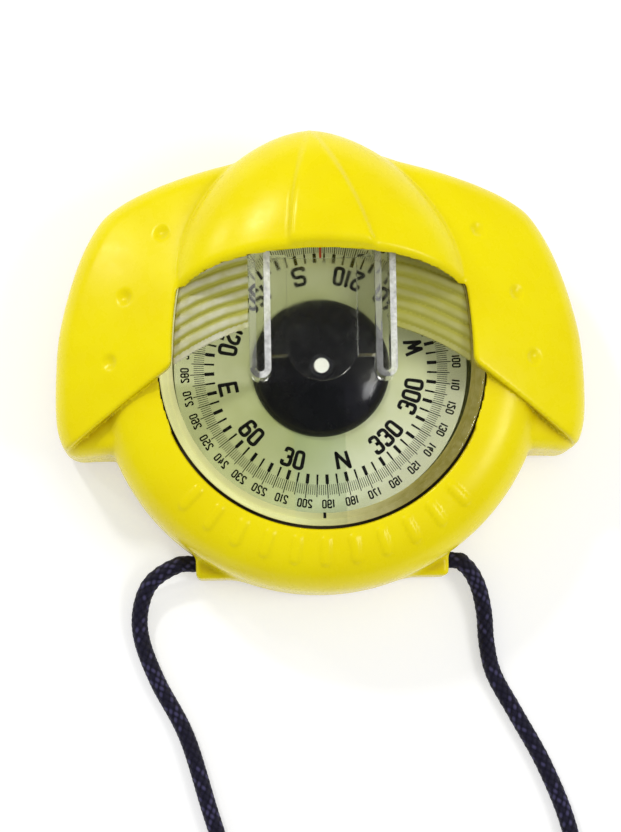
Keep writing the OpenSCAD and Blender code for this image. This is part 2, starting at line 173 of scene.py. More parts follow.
def slopes(field, points, step):
    moves = step * np.eye(3)
    return np.stack([(field(points + move) - field(points - move)) / (2 * step) for move in moves], axis=1)


def crossing_points(corner_values):
    """Mean place of the surface's cuts through each cell's edges, in cells from its corner."""
    total, hits = np.zeros((len(corner_values[0]), 3)), np.zeros(len(corner_values[0]))
    for a, b in CELL_EDGES:
        hit = (corner_values[a] < 0) != (corner_values[b] < 0)
        share = np.where(hit, corner_values[a] / np.where(hit, corner_values[a] - corner_values[b], 1), 0)
        place = CELL_CORNERS[a] + share[:, None] * (CELL_CORNERS[b] - CELL_CORNERS[a])
        total += np.where(hit[:, None], place, 0)
        hits += hit
    return total / hits[:, None]


def crossing_quads(inside, ids):
    """One outward quad for each grid edge that the surface cuts."""
    quads = []
    for axis in range(3):
        u, v = (axis + 1) % 3, (axis + 2) % 3
        first, second = [slice(1, -1)] * 3, [slice(1, -1)] * 3
        first[axis], second[axis] = slice(0, -1), slice(1, None)
        before, after = inside[tuple(first)], inside[tuple(second)]
        at = np.argwhere(before != after)
        backward = after[tuple(at.T)]
        at[:, [u, v]] += 1
        step_u, step_v = np.eye(3, dtype=int)[[u, v]]
        cells = (at - step_u - step_v, at - step_v, at, at - step_u)
        ring = np.stack([ids[tuple(cell.T)] for cell in cells], axis=1)
        ring[backward] = ring[backward][:, ::-1]
        quads.append(ring)
    return np.vstack(quads)


def surface_net(field, lowest, highest, pitch):
    """Points and quads of the surface where field is zero, one point to a cell."""
    counts = np.ceil((highest - lowest) / pitch).astype(int) + 1
    values = sample_grid(field, lowest, counts, pitch)
    inside = values < 0
    near = [tuple(slice(c, n - 1 + c) for c, n in zip(corner, counts)) for corner in CELL_CORNERS]
    tally = sum(inside[s].astype(np.int8) for s in near)
    crossed = (tally > 0) & (tally < 8)
    cells = np.argwhere(crossed)
    ids = np.full(crossed.shape, -1)
    ids[crossed] = np.arange(len(cells))
    points = lowest + pitch * (cells + crossing_points([values[s][crossed] for s in near]))
    return points, crossing_quads(inside, ids)


def settle(field, points, quads, rounds, step):
    """Evens out the points and puts each one exactly on the surface."""
    ends = np.vstack([quads[:, [k, (k + 1) % 4]] for k in range(4)])
    ends = np.vstack([ends, ends[:, ::-1]])
    links = np.bincount(ends[:, 0], minlength=len(points))
    for turn in range(rounds + 1):
        slope = slopes(field, points, step)
        steep = np.maximum((slope**2).sum(1), 0.05)
        points = points - (field(points) / steep)[:, None] * slope
        if turn < rounds:
            normal = slope / np.sqrt(steep)[:, None]
            sums = [np.bincount(ends[:, 0], points[ends[:, 1], k], len(points)) for k in range(3)]
            shift = np.stack(sums, axis=1) / links[:, None] - points
            points = points + 0.6 * (shift - (shift * normal).sum(1)[:, None] * normal)
    return points


def mesh_piece(name, points, faces, material=None, smooth=True):
    """A new mesh object from points in millimetres."""
    mesh = bpy.data.meshes.new(name)
    mesh.from_pydata((np.asarray(points) * MM).tolist(), [], [list(map(int, f)) for f in faces])
    mesh.validate()
    mesh.polygons.foreach_set("use_smooth", [smooth] * len(mesh.polygons))
    piece = bpy.data.objects.new(name, mesh)
    scene.collection.objects.link(piece)
    if material:
        mesh.materials.append(material)
    return piece


def store_on_points(piece, name, values):
    """Keeps one number for each point, for the materials."""
    piece.data.attributes.new(name, "FLOAT", "POINT").data.foreach_set("value", values.ravel())


def moulded_piece(name, field, lowest, highest, pitch, material, rounds=3):
    """A closed shell of an implicit surface, with the surface's own normals."""
    points, quads = surface_net(field, np.array(lowest, float), np.array(highest, float), pitch)
    points = settle(field, points, quads, rounds, 0.3 * pitch)
    piece = mesh_piece(name, points, quads, material)
    normals = unit(slopes(field, points, 0.3 * pitch))
    piece.data.normals_split_custom_set_from_vertices(normals.tolist())
    return piece


# ---------- casing ----------

CROWN_R, CROWN_Z = 86.0, -54.0  # the cape's crowned top is part of a ball
CAPE_STEP = 2.5  # drop from the cape to the wing's lower face
CAPE_FOOT = 2.0  # height of the wings' underside
CAPE_LINE = (26.0, -0.5, 0.73)  # where the diagonal edges start, and their slope
WING_SWAY, SWAY_X = 0.03, 25.0  # the left wing reaches out a little more as it goes back
SIDE_TOP, SIDE_POWER = 15.0, 2.3  # end of the body's straight side, and roundness of the roll above
GRIP_BARS, GRIP_PITCH = 11, 9.0  # raised bars on the bezel, and the degrees between them
GRIP_R, GRIP_HALF, GRIP_ROUND = 32.7, 1.7, 0.8
GRIP_RISE, GRIP_FROM_Z = 0.27, 18.0
HOOD_POINT = 1.7  # 2 is an ellipse in plan, and less is more pointed at the back
HOOD_POWERS = (2.3, 2.2)  # roundness of the hood's section, across and up
HOOD_LEAN, HOOD_FOOT = 0.05, 10.0
HOOD_WALL, HOOD_ROOF = 1.2, 2.5  # thickness at the sides and on top
BAND_RISE = 0.9  # the hood's middle band stands out this far
BAND_X, BAND_HALF, BAND_LEAN = 1.8, 7.3, 0.145
BAND_Y, BAND_LENGTH, BAND_FLARE = 17.5, 23.5, 1.6
MOUTH_Y, MOUTH_Z, MOUTH_LEAN = 13.0, 27.0, 0.7
POCKET_Y, POCKET_RISE = 19.0, 2.3  # room over the fluted shoulders
BAR_MIDDLE = (0.0, -33.75, 4.5)  # the lanyard's bar
BAR_HALF, BAR_ROUND = (21.5, 1.75, 3.5), 1.0
DIMPLES = ((28, 23.4), (34.6, 12.0), (37.4, 0.6))
DIMPLE_R, DIMPLE_OUT = 1.7, 1.3  # the balls that press the dimples in, and how high their middles stay
BOWL_BORE_R = 29.3
FLANGE_BORE_R, FLANGE_SHELF_Z = 32.7, 14.2
BASE_BORE_R, BASE_BORE_Z = 30.2, 3.0


def wing_outline():
    """Plan of the wings and the cape: a curve on the right side and its mirror image."""
    side = np.array([
        [0, 38.6], [8, 37.8], [14.5, 36.0], [21.2, 34.3], [28.6, 31.9], [34.4, 29.2], [38.3, 25.8],
        [42.4, 18.0], [45.9, 6.0], [WING_X + 0.1, -5.0], [WING_X - 0.5, -11.6], [WING_X - 2.8, -14.7],
        [38, -14.9], [20, -14.9], [0, -14.9],
    ])
    curve = spline(side, 8)
    return np.vstack([curve, curve[-2:0:-1] * [-1, 1]])


wing_plan = outline_field(wing_outline())


def bezel_field(x, y, z, radius):
    """The round body: straight side, then a roll into the bezel with its grip bars."""
    out, up = np.maximum(radius - WINDOW_R, 0), np.maximum(z - SIDE_TOP, 0)
    shell = super_round(out, up, BODY_R - WINDOW_R, BEZEL_Z - SIDE_TOP, SIDE_POWER, SIDE_POWER)
    body = smooth_max(shell, -z, 2.6)
    bars = smooth_max(grip_bars_field(x, y), body - GRIP_RISE, 0.6)
    body = smooth_min(body, np.where(z > GRIP_FROM_Z, bars, 5), 0.5)
    return smooth_max(body, -np.maximum(radius - WINDOW_R, LIP_Z - 1 - z), 0.5)


def grip_bars_field(x, y):
    """Plan of the raised bars on the front of the bezel."""
    angle = np.degrees(np.arctan2(x, -y))
    last = GRIP_BARS // 2
    nearest = np.clip(np.round(angle / GRIP_PITCH), -last, last) * GRIP_PITCH
    off = np.radians(angle - nearest)
    radius = np.hypot(x, y)
    along = np.abs(radius * np.cos(off) - GRIP_R) - GRIP_HALF
    across = np.abs(radius * np.sin(off))
    return np.hypot(np.maximum(along, 0), across) - GRIP_ROUND


def crowned_plan(x, y, z, drop, sway):
    """The wings' outline under the crowned top, which may lie lower by drop."""
    plan = wing_plan(x - sway, y)
    ball = np.sqrt(x**2 + y**2 + (z - CROWN_Z) ** 2) - (CROWN_R - drop)
    return smooth_max(smooth_max(plan, ball, 3.2), CAPE_FOOT - z, 1.2)


def cape_fields(x, y, z, left, radius):
    """The cape behind its diagonal edges, and the lower faces of the wings in front of them."""
    start_x, start_y, slope = CAPE_LINE
    diagonal = (start_y - slope * (x - start_x) - y) / hypot(1, slope)
    front = np.minimum(start_y - y, diagonal)
    sway = WING_SWAY * np.maximum(y, 0) * np.clip(left / SWAY_X, 0, 1)
    upper = smooth_max(crowned_plan(x, y, z, 0, sway), front, 0.9)
    lower = np.maximum(crowned_plan(x, y, z, CAPE_STEP, sway), WINDOW_R - radius)
    return upper, lower


def hood_field(x, y, z):
    """The hood's outside, leaning a little at the back, and how far out and up each point is."""
    back = np.maximum(y - HOOD_Y, 0)
    across = np.abs(x + HOOD_LEAN * back) * HOOD_R / HOOD_X
    rho = (across**HOOD_POINT + np.abs(y - HOOD_Y) ** HOOD_POINT) ** (1 / HOOD_POINT)
    rho = np.where(y > HOOD_Y, rho, np.hypot(across, y - HOOD_Y))
    up = np.maximum(z - HOOD_BASE, 0)
    skin = super_round(rho, up, HOOD_R, CASING_TOP - BAND_RISE - HOOD_BASE, *HOOD_POWERS)
    crown = super_round(rho, up, HOOD_R, CASING_TOP - HOOD_BASE, *HOOD_POWERS)
    along = np.clip((y - BAND_Y) / BAND_LENGTH, 0, 1)
    flare = BAND_FLARE * np.exp(-np.maximum(y - BAND_Y, 0))
    band = np.abs(x - BAND_X + BAND_LEAN * (y - BAND_Y)) - BAND_HALF * (1 - along**1.6) - flare
    hood = smooth_min(skin, smooth_max(crown, band, 1.1), 0.7)
    return smooth_max(hood, HOOD_FOOT - z, 2.0), rho, up


def bar_field(*place):
    """The lanyard's bar: a box with rounded edges."""
    past = [np.abs(p - middle) - half for p, middle, half in zip(place, BAR_MIDDLE, BAR_HALF)]
    box = largest(*past)
    outside = np.sqrt(sum(np.maximum(p, 0) ** 2 for p in past))
    return np.where(box > 0, outside, box) - BAR_ROUND


def press_dimples(solid, x, y, z):
    """Thumb dimples in the wings, pressed in by balls."""
    for dimple_x, dimple_y in DIMPLES:
        top = CROWN_Z + sqrt(CROWN_R**2 - dimple_x**2 - dimple_y**2)
        ball = np.sqrt((x - dimple_x) ** 2 + (y - dimple_y) ** 2 + (z - top - DIMPLE_OUT) ** 2)
        solid = smooth_max(solid, DIMPLE_R - ball, 0.5)
    return solid


def cape_edge(x, y):
    """Field of the opening between the cape's inner edges, in plan."""
    return np.hypot(x, np.maximum(y, 0) / CAPE_STRETCH) - CAPE_X


def mouth_field(x, y, z, radius):
    """The open front under the hood, whose lip leans back."""
    lean = (y - MOUTH_Y - MOUTH_LEAN * np.maximum(z - MOUTH_Z, 0)) / hypot(1, MOUTH_LEAN)
    plan = np.maximum(cape_edge(x, y), radius - WINDOW_R)
    return smooth_max(plan, np.maximum(lean, LIP_Z - z), 0.8)


def hollow_field(x, y, z, radius, rho, up):
    """Room inside the hood, and the pocket over the fluted shoulders."""
    inner = super_round(rho, up, HOOD_R - HOOD_WALL, CASING_TOP - HOOD_ROOF - HOOD_BASE, *HOOD_POWERS)
    pocket = largest(cape_edge(x, y), radius - WINDOW_R, y - POCKET_Y, z - COVER_Z - POCKET_RISE)
    return np.maximum(np.minimum(inner, pocket), COVER_Z - z)


def capsule_seat_field(radius, z):
    """Bore round the bowl, round its flange and at the base."""
    bowl = np.maximum(radius - BOWL_BORE_R, z - LIP_Z)
    flange = largest(radius - FLANGE_BORE_R, z - LIP_Z, FLANGE_SHELF_Z - z)
    base = np.maximum(radius - BASE_BORE_R, z - BASE_BORE_Z)
    return np.minimum(bowl, np.minimum(flange, base))


def casing_field(p):
    """Body, cape, wings, hood and bar, less the dimples, bore, mouth, hollow, window and seats."""
    x, y, z = np.abs(p[:, 0]), p[:, 1], p[:, 2]
    radius = np.hypot(x, y)
    upper, lower = cape_fields(x, y, z, -p[:, 0], radius)
    hood, rho, up = hood_field(p[:, 0], y, z)
    solid = smooth_min(bezel_field(x, y, z, radius), lower, 0.5)
    solid = smooth_min(smooth_min(solid, upper, 0.25), hood, 0.35)
    solid = np.maximum(smooth_min(solid, bar_field(x, y, z), 0.8), -z)
    solid = press_dimples(solid, x, y, z)
    solid = smooth_max(solid, BORE_R - np.hypot(y - BORE_Y, z - BORE_Z), 0.4)
    solid = smooth_max(solid, -mouth_field(x, y, z, radius), 1.0)
    solid = smooth_max(solid, -hollow_field(x, y, z, radius, rho, up), 0.5)
    solid = np.maximum(solid, -largest(radius - WINDOW_R, z - COVER_Z - 0.1, LIP_Z - 1 - z))
    return np.maximum(solid, -capsule_seat_field(radius, z))


# ---------- materials ----------


class Shader:
    """A procedural material in the making; its coordinates are in metres."""

    def __init__(self, name):
        self.material = bpy.data.materials.new(name)
        self.material.use_nodes = True
        self.tree = self.material.node_tree
        self.bsdf = self.tree.nodes["Principled BSDF"]
        self.place = self.node("TexCoord").outputs["Object"]

    def node(self, kind, **values):
        made = self.tree.nodes.new("ShaderNode" + kind)
        for key, value in values.items():
            if hasattr(made, key):
                setattr(made, key, value)
            else:
                made.inputs[key.replace("_", " ")].default_value = value
        return made

    def link(self, source, target):
        self.tree.links.new(source, target)

    def plug(self, value, socket):
        """Links another node's output, or sets a plain number or colour."""
        if isinstance(value, bpy.types.NodeSocket):
            self.link(value, socket)
        elif socket.type == "RGBA":
            socket.default_value = (*value[:3], 1.0)
        else:
            socket.default_value = value

    def set(self, **values):
        for key, value in values.items():
            self.plug(value, self.bsdf.inputs[key.replace("_", " ")])

    def stored(self, name):
        """A number from store_on_points."""
        return self.node("Attribute", attribute_name=name).outputs["Fac"]

    def axis(self, number):
        """One coordinate of the point, in metres."""
        apart = self.node("SeparateXYZ")
        self.link(self.place, apart.inputs[0])
        return apart.outputs[number]

    def noise(self, size_mm, detail=3.0, roughness=0.55):
        made = self.node("TexNoise", Scale=1000.0 / size_mm, Detail=detail, Roughness=roughness)
        self.link(self.place, made.inputs["Vector"])
        return made.outputs["Fac"]

    def spots(self, size_mm):
        made = self.node("TexVoronoi", Scale=1000.0 / size_mm)
        self.link(self.place, made.inputs["Vector"])
        return made.outputs["Distance"]

    def ramp(self, value, start, end, low_value=0.0, high_value=1.0):
        """low_value up to start and high_value from end on."""
        made = self.node("MapRange")
        self.link(value, made.inputs["Value"])
        for socket, number in zip(made.inputs[1:5], (start, end, low_value, high_value)):
            socket.default_value = number
        return made.outputs["Result"]

    def edge(self, number, middle_mm, half_mm, low_value=0.0, high_value=1.0):
        """Ramp along one coordinate, half_mm either side of middle_mm."""
        start, end = (middle_mm - half_mm) * MM, (middle_mm + half_mm) * MM
        return self.ramp(self.axis(number), start, end, low_value, high_value)

    def mix(self, factor, a, b):
        made = self.node("Mix", data_type="RGBA")
        self.plug(factor, made.inputs["Factor"])
        for name, value in (("A", a), ("B", b)):
            self.plug(value, next(s for s in made.inputs if s.name == name and s.type == "RGBA"))
        return made.outputs[2]

    def times(self, a, b):
        return self.math("MULTIPLY", a, b)

    def math(self, operation, a, b=0.0):
        made = self.node("Math", operation=operation)
        for socket, value in zip(made.inputs, (a, b)):
            self.plug(value, socket)
        return made.outputs[0]

    def spread(self):
        """Distance from the vertical axis."""
        squares = [self.math("POWER", self.axis(k), 2) for k in (0, 1)]
        return self.math("SQRT", self.math("ADD", *squares))

    def creases(self, reach_mm):
        """0 in corners and gaps, 1 in the open."""
        made = self.node("AmbientOcclusion", samples=8)
        made.inputs["Distance"].default_value = reach_mm * MM
        return made.outputs["AO"]

    def bump(self, height, depth_mm, strength):
        made = self.node("Bump", Strength=strength, Distance=depth_mm * MM)
        self.link(height, made.inputs["Height"])
        self.link(made.outputs["Normal"], self.bsdf.inputs["Normal"])


def linear(r, g, b):
    """Linear colour of an sRGB one given in 0 to 255."""
    return tuple((c / 255 / 12.92) if c < 11 else ((c / 255 + 0.055) / 1.055) ** 2.4 for c in (r, g, b))


def elastomer():
    """Soft yellow moulding: a fine pebbled grain, browner in corners and creases as painted shade, and paler
    where it is worn.
    """
    s = Shader("yellow_elastomer")
    tone = s.mix(s.ramp(s.noise(14, 2), 0.35, 0.65), linear(244, 228, 2), linear(240, 221, 0))
    worn = s.mix(s.ramp(s.noise(1.4, 4), 0.62, 0.75, 0, 0.08), tone, linear(250, 238, 70))
    # painted shade: browner where the ambient occlusion finds corners and creases
    colour = s.mix(s.ramp(s.creases(3.5), 0.25, 0.95), linear(168, 132, 2), worn)
    s.set(Base_Color=colour, Roughness=s.ramp(s.noise(2.2, 4), 0.3, 0.7, 0.23, 0.33))
    s.set(Specular_IOR_Level=0.28, Specular_Tint=(1.0, 0.96, 0.7))
    grain = s.math("ADD", s.noise(0.22, 2), s.times(s.spots(0.35), 0.6))
    s.bump(grain, 0.02, 0.35)
    return s.material


LEFT_FIN_X, RIGHT_FIN_X = -11.0, 11.4  # lines between the walls of each fin of the sight


def fin_scuffs(s, top_z):
    """Painted highlight in patchy white on the fins' top edges, strongest on the right-hand wall of each
    fin.
    """
    high_up = s.edge(2, top_z - 0.05, 0.05)
    left_outer = s.edge(0, LEFT_FIN_X, 0.2, 0.6, 0.0)
    right_inner = s.times(s.edge(0, 0.5, 0.5), s.edge(0, RIGHT_FIN_X, 0.2, 0.5, 0.0))
    # share of painted highlight: faint on the left fin's outer wall and the right fin's inner wall
    worn = s.math("SUBTRACT", 0.75, s.math("ADD", left_outer, right_inner))
    patchy = s.ramp(s.noise(0.9, 4), 0.3, 0.7, 0.5, 1.0)
    return s.times(s.times(high_up, worn), patchy)


def clear_plastic(name, tint_and_shade, roughness=0.03, highlight_z=None):
    """Clear acrylic that lets lamps through to what is behind it, with a patchy painted white highlight
    along a top edge when one is given.
    """
    s = Shader(name)
    colour = tint_and_shade(s) if callable(tint_and_shade) else tint_and_shade
    s.set(Base_Color=colour, Transmission_Weight=1.0, IOR=1.49)
    s.set(Roughness=s.ramp(s.noise(3, 3), 0.35, 0.7, roughness * 0.4, roughness * 1.6))
    ripple = s.math("ADD", s.noise(5, 1), s.times(s.noise(0.5, 2), 0.05))
    s.bump(ripple, 0.03, 0.08)
    if highlight_z:
        # painted highlight: less clear and whiter near the top edge
        s.set(Transmission_Weight=s.math("SUBTRACT", 1.0, fin_scuffs(s, highlight_z)))
    path = s.node("LightPath")
    open_rays = s.math("MAXIMUM", path.outputs["Is Shadow Ray"], path.outputs["Is Diffuse Ray"])
    passing = s.node("BsdfTransparent")
    s.plug(colour, passing.inputs["Color"])
    both = s.node("MixShader")
    for socket, source in zip(both.inputs, (open_rays, s.bsdf.outputs[0], passing.outputs[0])):
        s.link(source, socket)
    s.link(both.outputs[0], s.tree.nodes["Material Output"].inputs["Surface"])
    return s.material


STRIP_LEFT, STRIP_RIGHT = -5.1, 3.8  # edges of the darker strip in front of the sight
STRIP_BACK = -3.5


def window_tint(s):
    """Darker on the left as painted shade, a faint darker greenish strip in front of the sight, clear on the
    right of it, and nearly clear behind them.
    """
    # painted shade: the left side and the strip are darker than the clear right side
    strip = s.mix(s.edge(0, STRIP_LEFT, 0.1), (0.83, 0.84, 0.72), (0.79, 0.83, 0.78))
    front = s.mix(s.edge(0, STRIP_RIGHT, 0.1), strip, (0.99, 0.99, 0.99))
    return s.mix(s.edge(1, STRIP_BACK, 0.5), front, (0.98, 0.98, 0.93))


def rim_coating():
    """Painted light behind the window's rim: a pale glowing coat, browner on the right as painted shade."""
    s = Shader("rim_coating")
    side = s.math("ADD", s.axis(0), s.times(s.math("SUBTRACT", s.noise(9, 2), 0.5), 0.006))
    # painted shade: browner towards the right
    tone = s.mix(s.ramp(side, -0.006, 0.016), linear(216, 216, 164), linear(138, 130, 58))
    colour = s.mix(s.ramp(s.noise(1.3, 4), 0.4, 0.7, 0, 0.12), tone, linear(236, 230, 180))
    # painted glow: the coat's emission stands in for light seen through the rim
    s.set(Base_Color=colour, Roughness=0.5, Emission_Color=colour, Emission_Strength=0.62)
    s.bump(s.noise(0.5, 3), 0.02, 0.3)
    return s.material


def ribbed_plastic():
    """Frosted clear plastic with painted light on its flutes: a pale painted highlight along each crest and
    olive between them, the highlights fainter on the right.
    """
    s = Shader("ribbed_plastic")
    flute = s.stored("flute")
    wander = s.times(s.math("SUBTRACT", s.noise(6, 2), 0.5), 0.35)
    phase = s.math("FRACT", s.math("ADD", flute, wander))
    swell = s.math("SINE", s.times(phase, pi))
    pale = s.ramp(s.math("POWER", swell, 2.0), 0.15, 0.85)
    patchy = s.ramp(s.noise(2.6, 4), 0.3, 0.7, 0.4, 1.0)
    # painted highlight: strong on the left, faint on the right
    highlight_strength = s.times(patchy, s.edge(0, 0, 10, 1.0, 0.22))
    colour = s.mix(s.times(pale, highlight_strength), linear(196, 193, 78), linear(240, 239, 214))
    s.set(Base_Color=colour, Transmission_Weight=0.3, IOR=1.45, Roughness=0.32)
    s.bump(s.noise(0.5, 3), 0.02, 0.3)
    return s.material


def plastic(name, colour, roughness, grain_mm=0.4, mottle=0.12, coat=0.0, shine=0.5):
    """Opaque plastic or rubber: faint mottling, uneven gloss, fine grain."""
    s = Shader(name)
    light = tuple(min(1.0, c * (1 + mottle) + 0.004) for c in colour)
    dark = tuple(c * (1 - mottle) for c in colour)
    s.set(Base_Color=s.mix(s.ramp(s.noise(grain_mm * 6, 4), 0.35, 0.65), dark, light))
    s.set(Roughness=s.ramp(s.noise(grain_mm * 3, 3), 0.3, 0.7, roughness * 0.85, roughness * 1.2))
    s.set(Specular_IOR_Level=shine, Coat_Weight=coat, Coat_Roughness=0.05)
    s.bump(s.noise(grain_mm, 3), 0.015, 0.5 * roughness)
    return s.material


def metal(name, colour, roughness, turned=True):
    """Metal with fine marks, about the vertical axis where it is turned."""
    s = Shader(name)
    phase = s.times(s.spread(), 30000.0) if turned else s.times(s.noise(2, 1), 60.0)
    worn = tuple(c * 0.8 for c in colour)
    s.set(Base_Color=s.mix(s.ramp(s.noise(0.8, 4), 0.4, 0.7), colour, worn), Metallic=1.0)
    s.set(Roughness=s.ramp(s.noise(0.5, 3), 0.3, 0.7, roughness * 0.8, roughness * 1.3))
    s.bump(s.math("ADD", s.times(s.math("SINE", phase), 0.3), s.noise(0.2, 2)), 0.01, 0.3)
    return s.material


def hub_spot():
    """Bright white centre of the card's hub, with a faint painted glow, dark round it like the float."""
    s = Shader("white_hub")
    white = s.mix(s.ramp(s.noise(0.6, 3), 0.3, 0.7), linear(236, 236, 242), linear(246, 246, 250))
    outside = s.ramp(s.spread(), 0.00128, 0.00136)
    s.set(Base_Color=s.mix(outside, white, linear(26, 26, 40)), Roughness=0.3)
    # painted glow: the white centre emits a little light
    s.set(Emission_Color=s.mix(outside, (1.0, 1.0, 1.0), (0.0, 0.0, 0.0)), Emission_Strength=0.3)
    s.bump(s.noise(0.2, 2), 0.005, 0.2)
    return s.material


def card_stock():
    """Pale green luminous card: grainy phosphor under a satin film, with a faint painted glow, and darker
    towards the float as painted shade.
    """
    s = Shader("luminous_card")
    # painted shade: darker towards the float
    tone = s.mix(s.ramp(s.spread(), 0.012, 0.025), linear(204, 210, 158), linear(240, 243, 222))
    speck = s.mix(s.ramp(s.noise(0.18, 3), 0.35, 0.7, 0, 0.4), tone, linear(214, 221, 172))
    s.set(Base_Color=s.mix(s.ramp(s.noise(7, 2), 0.4, 0.65, 0, 0.35), speck, linear(238, 242, 218)))
    # painted glow: a faint green emission
    s.set(Roughness=0.5, Emission_Color=(0.6, 0.75, 0.35), Emission_Strength=0.03)
    s.bump(s.noise(0.15, 2), 0.008, 0.3)
    return s.material


def cord_weave():
    """Braided polyester: navy yarns, paler and purplish on their crowns, with fine fibres, and darker in the
    grooves between yarns as painted shade.
    """
    s = Shader("navy_cord")
    crown, fleck = s.stored("crown"), s.stored("fleck")
    yarn = s.mix(s.ramp(s.noise(0.3, 4), 0.3, 0.7), linear(10, 8, 24), linear(22, 19, 46))
    pale = s.mix(s.times(s.ramp(crown, 0.5, 1.0), fleck), yarn, linear(66, 62, 100))
    # painted shade: near black in the grooves between the yarns' crowns
    s.set(Base_Color=s.mix(s.ramp(crown, 0.0, 0.5), linear(5, 4, 12), pale))
    s.set(Roughness=s.ramp(crown, 0.2, 1.0, 0.85, 0.6), Specular_IOR_Level=0.25, Sheen_Weight=0.08)
    s.bump(s.noise(0.12, 3), 0.03, 0.6)
    return s.material


rubber_yellow = elastomer()
window_clear = clear_plastic("clear_window", window_tint)
sight_clear = clear_plastic("clear_sight", (0.98, 0.985, 0.96), 0.12, high("sight_frame")[2] - 0.3)
ink_black = plastic("printing_ink", linear(8, 8, 8), 0.5, 0.2, shine=0.1)
LOOKS = {
    "capsule_bowl": plastic("olive_plastic", linear(204, 204, 140), 0.42, 0.5),
    "capsule_seal": plastic("pale_silicone", linear(196, 196, 140), 0.5),
    "capsule_screws": metal("stainless_steel", (0.62, 0.61, 0.59), 0.25),
    "expansion_diaphragm": plastic("black_diaphragm", linear(28, 28, 30), 0.65, 0.6),
    "base_plate": plastic("black_plastic", linear(34, 34, 36), 0.5, 0.35),
    "base_plate_screws": metal("base_screw_steel", (0.62, 0.61, 0.59), 0.28),
    "filler_plug": metal("brass_plug", (0.75, 0.55, 0.24), 0.3),
    "filler_washer": plastic("washer_rubber", linear(20, 20, 20), 0.7),
    "pivot_stem": metal("brass_stem", (0.78, 0.58, 0.26), 0.22),
    "pivot_needle": metal("needle_steel", (0.7, 0.71, 0.74), 0.12, turned=False),
    "rear_lubber_line": plastic("red_line", linear(196, 58, 34), 0.4, 0.2),
    "front_lubber_mark": ink_black,
    "sight_frame": sight_clear,
    "sight_prism": clear_plastic("prism_glass", (0.97, 0.99, 0.98), 0.01),
    "jewel_cup": plastic("ruby", linear(150, 20, 40), 0.12, 0.5, coat=0.6),
    "card_hub": hub_spot(),
    "card_retainer": plastic("retainer_plastic", linear(60, 60, 62), 0.4),
    "card_disc": card_stock(),
    "magnet_carrier": plastic("carrier_plastic", linear(58, 58, 62), 0.45),
    "card_magnets": metal("magnet_steel", (0.32, 0.32, 0.34), 0.4, turned=False),
}
EDGE_ROUND = {"sight_frame": 0.22, "sight_prism": 0.1, "base_plate": 0.12, "capsule_bowl": 0.15}
SHARP_ANGLE = radians(32)


def round_edges(shown, width_mm):
    """Small bevels by modifiers, so that the CAD mesh stays as it is."""
    weld = shown.modifiers.new("weld", "WELD")
    weld.merge_threshold = 1e-6
    bevel = shown.modifiers.new("edges", "BEVEL")
    bevel.width = width_mm * MM
    bevel.segments = 3
    bevel.limit_method = "ANGLE"
    bevel.angle_limit = radians(35)
    bevel.harden_normals = True
    flat = shown.modifiers.new("flat", "WEIGHTED_NORMAL")
    flat.weight = 100
    flat.keep_sharp = True


for node, look in LOOKS.items():
    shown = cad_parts[node]
    shown.data.materials.clear()
    shown.data.materials.append(look)
    if node in EDGE_ROUND:
        round_edges(shown, EDGE_ROUND[node])
    shown.data.polygons.foreach_set("use_smooth", [True] * len(shown.data.polygons))
    shown.data.set_sharp_from_angle(angle=SHARP_ANGLE)

# ---------- casing piece ----------

NET_MARGIN, NET_PITCH = 1.2, 0.5  # room round the casing's box, and size of the net's cells
casing_low, casing_high = low("rubber_casing") - NET_MARGIN, high("rubber_casing") + NET_MARGIN
casing = moulded_piece("casing_moulding", casing_field, casing_low, casing_high, NET_PITCH, rubber_yellow)
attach(casing, "case")
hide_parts("rubber_casing")

# ---------- turned shapes: the clear cover and the float ----------


def lathe(name, profile, material, sides=192):
    """A turned shell; a profile that starts and ends on the axis is closed there."""
    angles = np.linspace(0, 2 * pi, sides, endpoint=False)
    solid = profile[0][0] == 0
    rings = profile[1:-1] if solid else profile
    n = len(rings)
    points = [(r * cos(a), r * sin(a), z) for a in angles for r, z in rings]
    faces = []
    for i in range(sides):
        here, beside = i * n, (i + 1) % sides * n
        for k in range(n - 1 if solid else n):
            m = (k + 1) % n
            faces.append((here + m, beside + m, beside + k, here + k))
        if solid:
            faces.append((here, beside, len(points)))
            faces.append((beside + n - 1, here + n - 1, len(points) + 1))
    if solid:
        points += [(0, 0, profile[0][1]), (0, 0, profile[-1][1])]
    piece = mesh_piece(name, points, faces, material)
    piece.data.set_sharp_from_angle(angle=SHARP_ANGLE)
    return piece


def arc(middle_r, middle_z, radius, start, end, steps=8):
    """Profile points on part of a circle, from start to end in degrees."""
    return [
        (middle_r + radius * cos(a), middle_z + radius * sin(a))
        for a in np.radians(np.linspace(start, end, steps + 1))
    ]


COVER_R, COVER_ROUND = WINDOW_R - 0.25, 0.35
SEAL_R, SEAL_GROOVE_R = 28.6, 0.62
WALL_R, CEILING_Z = 26.0, 21.5  # top of the liquid chamber, whose wall slopes outwards below
WALL_FOOT_R = 27.0
SEAM = 0.05  # gap under the bezel's lip


def cover_profile():
    """Section of window, flange, seal groove, and the chamber's wall and ceiling."""
    flange_top, split = LIP_Z - SEAM, SPLIT_Z + 0.04
    top = [(r, COVER_Z) for r in (0, 9, 18, 25)]
    top += arc(COVER_R - COVER_ROUND, COVER_Z - COVER_ROUND, COVER_ROUND, 90, 0)
    flange = [(COVER_R, flange_top), (FLANGE_R, flange_top), (FLANGE_R, split)]
    groove = arc(SEAL_R, split, SEAL_GROOVE_R, 0, 180, 12)
    under = [(WALL_FOOT_R, split)] + [(r, CEILING_Z) for r in (WALL_R, 18, 9, 0)]
    return top + flange + groove + under


